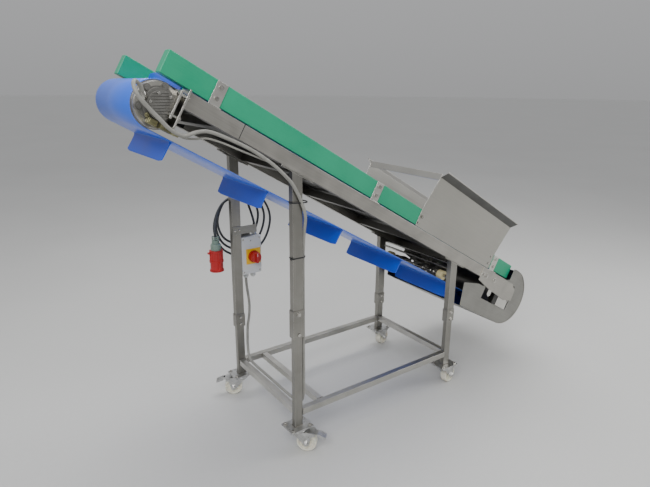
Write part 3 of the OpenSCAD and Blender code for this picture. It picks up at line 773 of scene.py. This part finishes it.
def make_guide_details():
    washers = bmesh.new()
    for side, face in SIDES:
        y = face * (GUIDE_FACE + 0.003)
        for u in BRACKET_U:
            for w in (0.076, 0.112):
                add_washer(washers, BELT @ shifted(u, y, w) @ side, 0.004, 0.0095, 0.0014)
        for u in (1.196, 1.226, 1.300):
            add_washer(washers, BELT @ shifted(u, face * (HALF + 0.0045), 0.016) @ side, 0.005,
                    0.0115, 0.0016)
    piece("washers", washers, "bracket_steel", "conveyor")

    joints = bmesh.new()
    # Black blocks at each rail joint, one inside the rail and one filling the gap between the rail ends:
    # painted shade in the joint.
    for face in (-1, 1):
        y0, y1 = sorted((face * (HALF - 0.0033), face * (HALF - 0.0058)))
        add_block(joints, (-0.262, y0, 0.005), (-0.230, y1, 0.046), BELT)
        y0, y1 = sorted((face * (HALF - 0.0040), face * (HALF + 0.0004)))
        add_block(joints, (-0.2474, y0, 0.0002), (-0.2446, y1, 0.0503), BELT)
    piece("rail_splice_and_joint_shade", joints, "black_plastic", "conveyor", 0.0004)

    welds = bmesh.new()
    for face in (-1, 1):
        for u in BRACKET_U:
            y = face * (HALF - 0.002)
            add_bead(welds, on_belt(u - 0.018, y, 0.0505), on_belt(u + 0.018, y, 0.0505), 0.0013)
    for u in CROSS_U:
        for face in (-1, 1):
            y = face * (HALF - 0.0042)
            for edge in (u - 0.0155, u + 0.0155):
                add_bead(welds, on_belt(edge, y, 0.006), on_belt(edge, y, 0.032), 0.0014)
    piece("frame_welds", welds, "weld_steel", "conveyor")


make_guide_details()

# ---- hopper ----------------------------------------------


def wall_line(foot_y, top_y, lip_y, foot_w):
    return [(foot_y, foot_w), (foot_y, 0.136), (top_y, HOPPER_W), (lip_y, HOPPER_W + 0.025)]


def add_bent_strip(bm, line, u0, u1, out, thick):
    """A strip bent over a hopper wall's outer face, from u0 to u1 along the belt."""
    outer = [(y - out - thick, w) for y, w in line]
    inner = [(y - out, w) for y, w in line]
    outline = outer + inner[::-1]
    near = [bm.verts.new(on_belt(u0, y, w)) for y, w in outline]
    far = [bm.verts.new(on_belt(u1, y, w)) for y, w in outline]
    count = len(outline)
    for k in range(count):
        after = (k + 1) % count
        bm.faces.new((near[k], near[after], far[after], far[k]))
    for ring in (near, far):
        for k in range(len(line) - 1):
            bm.faces.new((ring[k], ring[k + 1], ring[count - 2 - k], ring[count - 1 - k]))


def make_hopper():
    near = wall_line(HOPPER_NEAR_Y, -0.256, -0.288, 0.055)
    strip = bmesh.new()
    add_bent_strip(strip, near[:3], HOPPER_U, HOPPER_U + 0.015, 0.0002, 0.0014)
    piece("hopper_edge_strip", strip, "bracket_steel", "conveyor", 0.0004)

    # A thin dark sheet just under the near lip's fold: painted shade where the lip overhangs.
    lip_shade = bmesh.new()
    end = HOPPER_U + HOPPER_LEN
    (y0, w0), (y1, w1) = near[2], near[3]
    fold = [
        (y0 - 0.0021, w0 - 0.0004), (y0 - 0.0023, w0 + 0.0004), (y1 + 0.0006, w1 - 0.0030),
        (y1 + 0.0010, w1 - 0.0036)
    ]
    low = [lip_shade.verts.new(on_belt(HOPPER_U + 0.001, y, w)) for y, w in fold]
    high = [lip_shade.verts.new(on_belt(end - 0.001, y, w)) for y, w in fold]
    for k in range(4):
        lip_shade.faces.new((low[k], low[(k + 1) % 4], high[(k + 1) % 4], high[k]))
    lip_shade.faces.new(low[::-1])
    lip_shade.faces.new(high)
    piece("hopper_lip_shade", lip_shade, "bed_steel", "conveyor")

    hems = bmesh.new()
    for face, lip in ((1, -0.288), (-1, -0.226)):
        w = HOPPER_W + 0.0245
        line = [on_belt(HOPPER_U + HOPPER_LEN * k / 12, face * lip, w) for k in range(13)]
        add_swept(hems, line, 0.0016, 10)
    piece("hopper_hems", hems, "hopper_steel", "conveyor")

    welds = bmesh.new()
    for face, top in ((-1, 0.2545), (1, 0.1925)):
        add_bead(welds, on_belt(HOPPER_U + 0.0045, face * top, HOPPER_W - 0.013),
                 on_belt(HOPPER_U + 0.0045, face * (top + 0.004), HOPPER_W + 0.004), 0.0013)
        add_bead(welds, on_belt(end - 0.003, face * 0.1945, 0.124),
                on_belt(end - 0.003, face * 0.1955, 0.250), 0.0013)
    piece("hopper_welds", welds, "weld_steel", "conveyor")

    bolts = bmesh.new()
    for u, w in ((HOPPER_U + 0.0075, 0.070), (end - 0.020, 0.078), (end - 0.020, 0.112)):
        y = HOPPER_NEAR_Y - (0.0017 if u < HOPPER_U + 0.02 else 0)
        add_bolt(bolts, BELT @ shifted(u, y, w) @ NEAR, 0.003)
    piece("hopper_bolts", bolts, "bolt_steel", "conveyor", 0.0003)


make_hopper()

# ---- tail end --------------------------------------------


def make_tail():
    rods = bmesh.new()
    for face in (-1, 1):
        y = face * (HALF - 0.013)
        turns = 44
        at = BELT @ shifted(TAIL_U - 0.066, y, HEAD_W) @ turned(-90, "Y")
        profile = [(0, 0), (0.0055, 0)]
        for k in range(turns):
            profile += [(0.0061, 0.0015 + 0.0033 * k), (0.0051, 0.0031 + 0.0033 * k)]
        profile += [(0.0045, 0.1480), (0, 0.1485)]
        add_turned(rods, profile, at, 20)
        add_turned(rods, chamfered(0.0105, 0.0085, 0.0092, 0.010), at, 6)
    piece("takeup_screws", rods, "drum_steel", "takeup")

    caps = bmesh.new()
    for side, face in SIDES:
        at = BELT @ shifted(TAIL_U, face * (HALF - 0.0002), HEAD_W) @ side
        add_turned(caps, [(0, -0.001), (0.021, -0.001), (0.021, 0.001), (0.018, 0.0035),
                (0.010, 0.0042), (0, 0.0044)], at, 36)
        for k in range(4):
            angle = math.radians(45 + 90 * k)
            spot = at @ shifted(0.029 * math.cos(angle) - 0.002, 0.029 * math.sin(angle), 0)
            add_bolt(caps, spot, 0.0026, False)
    piece("takeup_caps", caps, "bracket_steel", "takeup", 0.0004)

    guides = bmesh.new()
    for face in (-1, 1):
        y0, y1 = sorted((face * (HALF - 0.003), face * (HALF - 0.026)))
        for w0, w1 in ((-0.097, -0.0905), (0.0385, 0.043)):
            add_block(guides, (1.262, y0, w0), (1.496, y1, w1), BELT)
    piece("takeup_guides", guides, "cross_steel", "conveyor", 0.0008)

    welds = bmesh.new()
    for face in (-1, 1):
        y = face * (HALF + 0.0004)
        ring = []
        for k in range(60):
            a = math.radians(-88 + 160 * k / 59)
            ring.append(on_belt(TAIL_U + 0.1445 * math.cos(a), y, HEAD_W + 0.1445 * math.sin(a)))
        add_swept(welds, ring, lambda t: 0.0013 * (1 + 0.2 * math.cos(59 * math.pi * t)), 8)
        add_bead(welds, on_belt(1.182, face * (HALF + 0.002), -0.014),
                on_belt(1.182, face * (HALF + 0.002), 0.044), 0.0015)
    piece("tail_welds", welds, "weld_steel", "conveyor")

    washers = bmesh.new()
    for face in (-1, 1):
        for angle in (-55, -15, 25, 65):
            at = BELT @ shifted(TAIL_U, face * -(HALF - 0.010), HEAD_W) @ turned(-angle, "Y")
            add_washer(washers, at @ shifted(0.1461, 0, 0) @ turned(90, "Y"), 0.003, 0.0075, 0.0012)
    plate = [(1.290, -0.0362), (1.318, -0.0362), (1.318, -0.060), (1.306, -0.070), (1.290, -0.062)]
    for face in (-1, 1):
        at = BELT @ shifted(0, face * (HALF + 0.0006), 0) @ turned(90, "X")
        add_plate(washers, plate, -0.003 * face, at)
    piece("tail_washers", washers, "bracket_steel", "conveyor", 0.0003)


def make_idler():
    rings = bmesh.new()
    for y in (-0.130, -0.112, -0.060, 0.0, 0.060, 0.112, 0.130):
        at = BELT @ shifted(IDLER_U, y, IDLER_W) @ NEAR
        add_turned(rings, [(0.0081, -0.007), (0.015, -0.007), (0.0165, -0.005), (0.0165, 0.005),
                (0.015, 0.007),
                           (0.0081, 0.007), (0.0081, -0.007)], at, 30)
    piece("idler_spacers", rings, "drum_steel", "conveyor", angle=30)


make_tail()
make_idler()

# ---- stand -----------------------------------------------


def leg_at(k):
    return STAND @ shifted(LEG_X[k], LEG_SIDE[k] * LEG_Y, 0)


def make_stand():
    upper, lower, bolts = bmesh.new(), bmesh.new(), bmesh.new()
    for k in range(4):
        at, side = leg_at(k), LEG_SIDE[k]
        z = COLLAR_Z[k] + COLLAR_H[k]
        for x0, y0, x1, y1 in ((-1, -1, 1, -1), (1, -1, 1, 1), (1, 1, -1, 1), (-1, 1, -1, -1)):
            for welds, height, w, d, radius in (
                (upper, z + 0.0004, 0.0212, 0.0137, 0.0013), (lower, 0.1085, 0.0188, 0.0113, 0.0016)
            ):
                start, end = Vector((x0 * w, y0 * d, height)), Vector((x1 * w, y1 * d, height))
                add_bead(welds, at @ start, at @ end, radius)
        for x in (-0.0205, 0.0205):
            top = RAIL_FOOT - (LEG_X[k] + x) * math.tan(INCLINE) - 0.0072
            add_bead(upper, at @ Vector((x, -0.0115, top)), at @ Vector((x, 0.0115, top)), 0.0016)
        inward = 1 if LEG_X[k] == 0 else -1
        for z0 in (0.152, 0.178):
            x = inward * 0.0185
            add_bead(lower, at @ Vector((x, -0.012 * 0.8, z0)), at @ Vector((x, 0.012 * 0.8, z0)), 0.0014)
            y = -side * 0.0110
            add_bead(lower, at @ Vector((-0.0125, y, z0)), at @ Vector((0.0125, y, z0)), 0.0014)
        for height in (0.014, COLLAR_H[k] - 0.014):
            face = at @ shifted(0, side * 0.015, COLLAR_Z[k] + height) @ (FAR if side > 0 else NEAR)
            add_washer(bolts, face, 0.004, 0.0085, 0.0014)
            other = at @ shifted(0, -side * 0.015, COLLAR_Z[k] + height) @ (NEAR if side > 0 else FAR)
            add_turned(bolts, chamfered(0.0072, 0.004, 0.0060, 0.005), other, 6)
    piece("upper_welds", upper, "weld_steel", "conveyor")
    piece("base_welds", lower, "weld_steel", "base")
    piece("collar_nuts", bolts, "bolt_steel", "conveyor", 0.0003)

    plugs = bmesh.new()
    for y in (-0.2285, 0.2285):
        over = y - math.copysign(0.0005, y)
        start, end = stand(CROSS_BAR_X - 0.0125, over, 0.1785), stand(CROSS_BAR_X + 0.0125, over, 0.1785)
        add_bead(plugs, start, end, 0.0014)
        for x in (CROSS_BAR_X - 0.0135, CROSS_BAR_X + 0.0135):
            add_bead(plugs, stand(x, y, 0.154), stand(x, y, 0.177), 0.0013)
    piece("cross_bar_welds", plugs, "weld_steel", "base")


def make_casters():
    nuts, races = bmesh.new(), bmesh.new()
    for k in range(4):
        at = leg_at(k)
        for x in (-0.039, 0.039):
            for y in (-0.030, 0.030):
                add_bolt(nuts, at @ shifted(x, y, 0.108), 0.0035)
                add_turned(nuts, chamfered(0.0068, -0.0045, 0.0058, -0.0055),
                           at @ shifted(x, y, 0.102), 6)
        add_turned(races, [(0.0310, 0.1019), (0.0375, 0.1019), (0.0385, 0.0995), (0.0360, 0.0955),
                (0.0325, 0.0935),
                           (0.0310, 0.0945), (0.0310, 0.1019)], at, 48)
    piece("caster_nuts", nuts, "bolt_steel", "base", 0.0003)
    piece("caster_races", races, "zinc", "base", angle=30)
    for k in range(4):
        make_caster_details(k)


def make_caster_details(k):
    at = leg_at(k) @ turned(CASTER_TURN[k], "Z")
    number = k + 1
    fork = bmesh.new()
    for side, face in SIDES:
        axle = at @ shifted(AXLE_X, face * FORK_Y, AXLE_Z) @ side
        add_turned(fork, [(0, 0), (0.0125, 0), (0.0125, 0.0010), (0.0120, 0.0014), (0, 0.0014)], axle, 28)
        add_turned(fork, [(0, 0.0014), (0.0098, 0.0014), (0.0098, 0.0066), (0.0086, 0.0078),
                (0.0042, 0.0078),
                          (0.0042, 0.0098), (0, 0.0102)], axle, 6)
        arc = [(0.048 - 0.024 * math.cos(math.radians(20 * j)), 0.034 + 0.046 * j / 6) for j in range(7)]
        line = [at @ Vector((x, face * FORK_Y, z)) for x, z in arc]
        add_swept(fork, line, 0.0013, 8)
    add_turned(fork, [(0.0235, 0.0842), (0.0310, 0.0842), (0.0322, 0.0870), (0.0322, 0.0900),
            (0.0304, 0.0925),
                      (0.0235, 0.0925), (0.0235, 0.0842)], at, 48)
    piece(f"caster_hardware_{number}", fork, "zinc", f"caster_{number}", angle=30)

    wheel = bmesh.new()
    for side in (NEAR, FAR):
        hub = at @ shifted(AXLE_X, 0, AXLE_Z) @ side
        for j in range(8):
            spoke = hub @ turned(45 * j, "Z")
            add_block(wheel, (0.0115, -0.0012, 0.0088), (0.0312, 0.0012, 0.0128), spoke)
        add_turned(wheel, [(0.0125, 0.0090), (0.0148, 0.0092), (0.0143, 0.0160), (0.0125, 0.0165)], hub, 36)
        add_turned(wheel, [(0.0335, 0.0148), (0.0345, 0.0156), (0.0360, 0.0156), (0.0368, 0.0148)], hub, 60)
    piece(f"wheel_ribs_{number}", wheel, "white_nylon", f"wheel_{number}", 0.0004)
    if number > 2:
        return
    pedal = bmesh.new()
    plate = at @ shifted(0.084, 0, 0.0795) @ turned(24, "Y")
    for j in range(5):
        add_block(pedal, (0.006 + 0.006 * j, -0.0135, 0.0028), (0.0085 + 0.006 * j, 0.0135, 0.0042), plate)
    for y in (-0.0165, 0.0149):
        add_plate(pedal, [(0.0, -0.004), (0.034, -0.002), (0.034, 0.0045), (0.0, 0.0048)], 0.0016,
                  plate @ shifted(0, y + 0.0016, 0) @ turned(90, "X"))
    piece(f"pedal_tread_{number}", pedal, "zinc", f"brake_{number}", 0.0004)


make_stand()
make_casters()

# ---- control box -----------------------------------------

BOX = STAND @ shifted(0.068, 0.231, 0.584)
BOX_W, BOX_H = 0.095, 0.170
LID_D = 0.0195
GLAND_Y = 0.031
KNOB = STAND @ shifted(0.076, 0.231, 0.664)


def rounded_outline(width, depth, radius, steps=6):
    """A rounded rectangle in x and y, its front edge on y = 0."""
    points = []
    for cx, cy, start in (
        (width / 2 - radius, depth - radius, 0), (-width / 2 + radius, depth - radius, 90),
        (-width / 2 + radius, radius, 180), (width / 2 - radius, radius, 270)
    ):
        for j in range(steps + 1):
            a = math.radians(start + 90 * j / steps)
            points.append((cx + radius * math.cos(a), cy + radius * math.sin(a)))
    return points


def make_box():
    seal = bmesh.new()
    outline = [Vector((x, LID_D + 0.00025, z)) for x,
            z in rounded_outline(BOX_W - 0.0008, BOX_H - 0.0008, 0.004)]
    line = [BOX @ (p + Vector((0, 0, 0.0004))) for p in outline + outline[:1]]
    add_swept(seal, line, 0.0008, 8)
    piece("lid_seal", seal, "black_plastic", "conveyor", angle=80)

    screws = bmesh.new()
    for x in (-0.039, 0.039):
        for z in (0.010, 0.160):
            at = BOX @ shifted(x, 0.0002, z) @ NEAR
            add_turned(screws, [(0.0026, -0.0006), (0.0042, -0.0006), (0.0042, 0.0008),
                    (0.0034, 0.0016), (0.0026, 0.0016),
                                (0.0026, -0.0006)], at, 24)
            add_block(screws, (-0.0026, -0.0006, -0.0006), (0.0026, 0.0006, 0.0012), at)
            add_block(screws, (-0.0006, -0.0026, -0.0006), (0.0006, 0.0026, 0.0012), at)
    add_turned(screws, [(0, -0.0006), (0.0036, -0.0006), (0.0036, 0.0010), (0.0024, 0.0020), (0, 0.0022)],
               BOX @ shifted(-0.004, 0.0002, 0.152) @ NEAR, 24)
    piece("lid_screws", screws, "bolt_steel", "conveyor", angle=30)

    ledge = bmesh.new()
    for z0, z1 in ((0.004, 0.0075), (0.1625, 0.166)):
        add_block(ledge, (-0.034, -0.0012, z0), (0.034, 0.0004, z1), BOX)
    for x0 in (-0.0480, 0.0460):
        add_block(ledge, (x0, 0.0010, 0.020), (x0 + 0.0020, 0.0180, 0.150), BOX)
    piece("lid_ribs", ledge, "box_grey", "conveyor", 0.0006)

    glands = bmesh.new()
    cable_gland, spare_gland = [BOX @ shifted(x, GLAND_Y, 0) @ turned(180, "X") for x in (-0.016, 0.019)]
    for at in (cable_gland, spare_gland, BOX @ shifted(0.032, GLAND_Y, BOX_H)):
        add_turned(glands, [(0.0062, 0.0090), (0.0108, 0.0092), (0.0112, 0.0120), (0.0112, 0.0210),
                (0.0098, 0.0242),
                            (0.0074, 0.0258), (0.0062, 0.0256), (0.0062, 0.0090)], at, 18)
        for j in range(12):
            rib = at @ turned(30 * j, "Z")
            add_block(glands, (0.0106, -0.0011, 0.0125), (0.0119, 0.0011, 0.0205), rib)
    add_turned(glands, [(0, 0.0262), (0.0070, 0.0262), (0.0070, 0.0240), (0, 0.0240)],
               spare_gland, 18)
    piece("gland_nuts", glands, "box_grey", "conveyor", 0.0004)

    relief = bmesh.new()
    line = smooth_line(supply_route()[:2], 14)
    add_swept(relief, line, lambda t: 0.0070 - 0.0016 * t + 0.0004 * math.cos(2 * math.pi * 6 * t), 16)
    piece("strain_relief", relief, "black_plastic", "conveyor", angle=60)


def make_switch():
    plate = bmesh.new()
    add_turned(plate, [(0.0275, 0.0019), (0.0310, 0.0019), (0.0306, 0.0030), (0.0280, 0.0030),
            (0.0275, 0.0019)], KNOB @ NEAR, 64)
    for x in (-0.029, 0.029):
        for z in (-0.029, 0.029):
            add_turned(plate, [(0, 0.0018), (0.0028, 0.0018), (0.0022, 0.0030), (0, 0.0033)],
                    KNOB @ NEAR @ shifted(x, z, 0), 16)
    piece("switch_ring", plate, "yellow_plastic", "conveyor")

    grip = bmesh.new()
    for j in range(24):
        at = KNOB @ NEAR @ turned(15 * j, "Z")
        add_block(grip, (0.0214, -0.0015, 0.0130), (0.0229, 0.0015, 0.0325), at)
    piece("knob_grip", grip, "red_plastic", "switch", 0.0005)

    mark = bmesh.new()
    add_block(mark, (-0.0012, 0.0060, 0.0412), (0.0012, 0.0205, 0.0421), KNOB @ NEAR)
    piece("knob_pointer", mark, "box_grey", "switch", 0.0002)


def make_bracket_details():
    bolts = bmesh.new()
    for x in (-0.010, 0.010):
        add_bolt(bolts, STAND @ shifted(x, 0.226, 0.791) @ NEAR, 0.0022)
    piece("bracket_bolts", bolts, "bolt_steel", "conveyor", 0.0003)


make_box()
make_switch()
make_bracket_details()

# ---- plug ------------------------------------------------


def make_plug():
    at = STAND @ shifted(-0.094, 0.240, 0.627)
    ribs = bmesh.new()
    for j in range(16):
        rib = at @ turned(22.5 * j, "Z")
        add_block(ribs, (0.0266, -0.0016, 0.050), (0.0284, 0.0016, 0.086), rib)
    add_turned(ribs, [(0.0268, 0.086), (0.0290, 0.0875), (0.0290, 0.0905), (0.0268, 0.092)], at, 40)
    add_turned(ribs, [(0.0268, 0.005), (0.0285, 0.006), (0.0285, 0.009), (0.0268, 0.010)], at, 40)
    add_block(ribs, (-0.0055, -0.0325, 0.002), (0.0055, -0.0265, 0.044), at)
    add_block(ribs, (-0.0375, -0.006, 0.0785), (-0.0262, 0.006, 0.0855), at)
    piece("plug_ribs", ribs, "red_plastic", "conveyor", 0.0006)

    cap = bmesh.new()
    for j in range(20):
        rib = at @ turned(18 * j, "Z")
        add_block(cap, (0.0206, -0.0013, 0.0935), (0.0219, 0.0013, 0.1150), rib)
    add_turned(cap, [(0.0150, 0.1160), (0.0205, 0.1160), (0.0190, 0.1195), (0.0150, 0.1205),
            (0.0150, 0.1160)], at, 40)
    for step in range(4):
        z = 0.1225 + 0.0078 * step
        add_turned(cap, [(0.0148, z), (0.0158, z + 0.0012), (0.0158, z + 0.0036),
                (0.0148, z + 0.0048)], at, 30)
    piece("plug_cap_ribs", cap, "plug_green", "conveyor", 0.0004)

    pins = bmesh.new()
    for j in range(4):
        spot = at @ turned(90 * j, "Z") @ shifted(0.011, 0, 0)
        add_turned(pins, [(0, 0.0062), (0.0016, 0.0062), (0.0026, 0.0085), (0.0026, 0.046),
                (0, 0.046)], spot, 16)
    piece("plug_pins", pins, "bolt_steel", "conveyor")


def make_ties():
    """Cable ties: a flat band round the leg and its cable, a head and a cut tail."""
    ties = bmesh.new()
    for z in (0.8005, 1.0025):
        loop = [
            (-0.0212, 0.0132), (-0.0218, 0), (-0.0214, -0.0125), (-0.010, -0.0190), (0.014, -0.0250),
            (0.026, -0.0272), (0.034, -0.0224), (0.0368, -0.0142), (0.0368, -0.004), (0.0335, 0.0075),
            (0.0212, 0.0136), (-0.0212, 0.0136)
        ]
        if z < 0.9:
            loop = [
                (-0.0212, 0.0132), (-0.0217, 0), (-0.0212, -0.0130), (0.0, -0.0136), (0.0215, -0.0134),
                (0.0330, -0.0082), (0.0368, 0), (0.0330, 0.0080), (0.0212, 0.0136), (-0.0212, 0.0136)
            ]
        line = smooth_line([stand(x, y - LEG_Y, z) for x, y in loop], 6)
        add_swept(ties, line, 0.0024, 10, 0.3, Vector((0, 0, 1)))
        head = STAND @ shifted(-0.0245, -LEG_Y - 0.004, z)
        add_block(ties, (-0.0022, -0.0040, -0.0038), (0.0024, 0.0040, 0.0038), head)
        tail = [(-0.0250, -0.006), (-0.0270, -0.014), (-0.0330, -0.020)]
        add_swept(ties, smooth_line([stand(x, y - LEG_Y, z) for x, y in tail], 5), 0.0020, 8, 0.3,
                Vector((0, 0, 1)))
    bands = piece("tie_bands", ties, "black_plastic", "conveyor", 0.0003)
    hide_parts("cable_ties")


make_plug()
make_ties()

# ---- floor and light -------------------------------------


def make_floor():
    surface("floor", None, srgb(190, 190, 188), (0.55, 0.75), (0.02, 0.02, 0.02), tint=0.03,
            patch=1.5, grain=0.03)
    bm = bmesh.new()
    add_turned(bm, [(0, 0), (3, 0), (12, 0), (60, 0)], Matrix.Identity(4), 64)
    mesh = bpy.data.meshes.new("floor")
    bm.to_mesh(mesh)
    bm.free()
    floor = bpy.data.objects.new("floor", mesh)
    mesh.materials.append(FINISHES["floor"][0])
    shown.link(floor)


def make_light(name, place, aim, size, power):
    data = bpy.data.lights.new(name, "AREA")
    data.shape = "RECTANGLE"
    data.size, data.size_y = size
    data.energy = power
    lamp = bpy.data.objects.new(name, data)
    lamp.location = place
    lamp.rotation_euler = (Vector(aim) - Vector(place)).to_track_quat("-Z", "Y").to_euler()
    shown.link(lamp)


def make_world():
    """Soft studio light: a pale sky that darkens towards the floor."""
    world = bpy.data.worlds.new("studio")
    world.use_nodes = True
    tree = world.node_tree
    place = tree.nodes.new("ShaderNodeTexCoord").outputs["Generated"]
    split = tree.nodes.new("ShaderNodeSeparateXYZ")
    tree.links.new(place, split.inputs[0])
    height = spread(tree, split.outputs["Z"], 0, 1, -0.4, 0.9)
    sky = mixed(tree, height, srgb(150, 150, 150), srgb(246, 247, 250))
    back = tree.nodes["Background"]
    tree.links.new(sky, back.inputs["Color"])
    back.inputs["Strength"].default_value = 0.75
    bpy.context.scene.world = world


make_floor()
make_world()
make_light("key", (-2.6, -2.4, 3.4), (0, 0, 0.7), (2.6, 2.0), 130)
make_light("overhead", (0.4, 0.6, 3.6), (0.1, 0, 0.6), (3.0, 2.0), 90)
make_light("fill", (3.2, -1.8, 1.8), (0, 0, 0.6), (2.0, 2.0), 45)
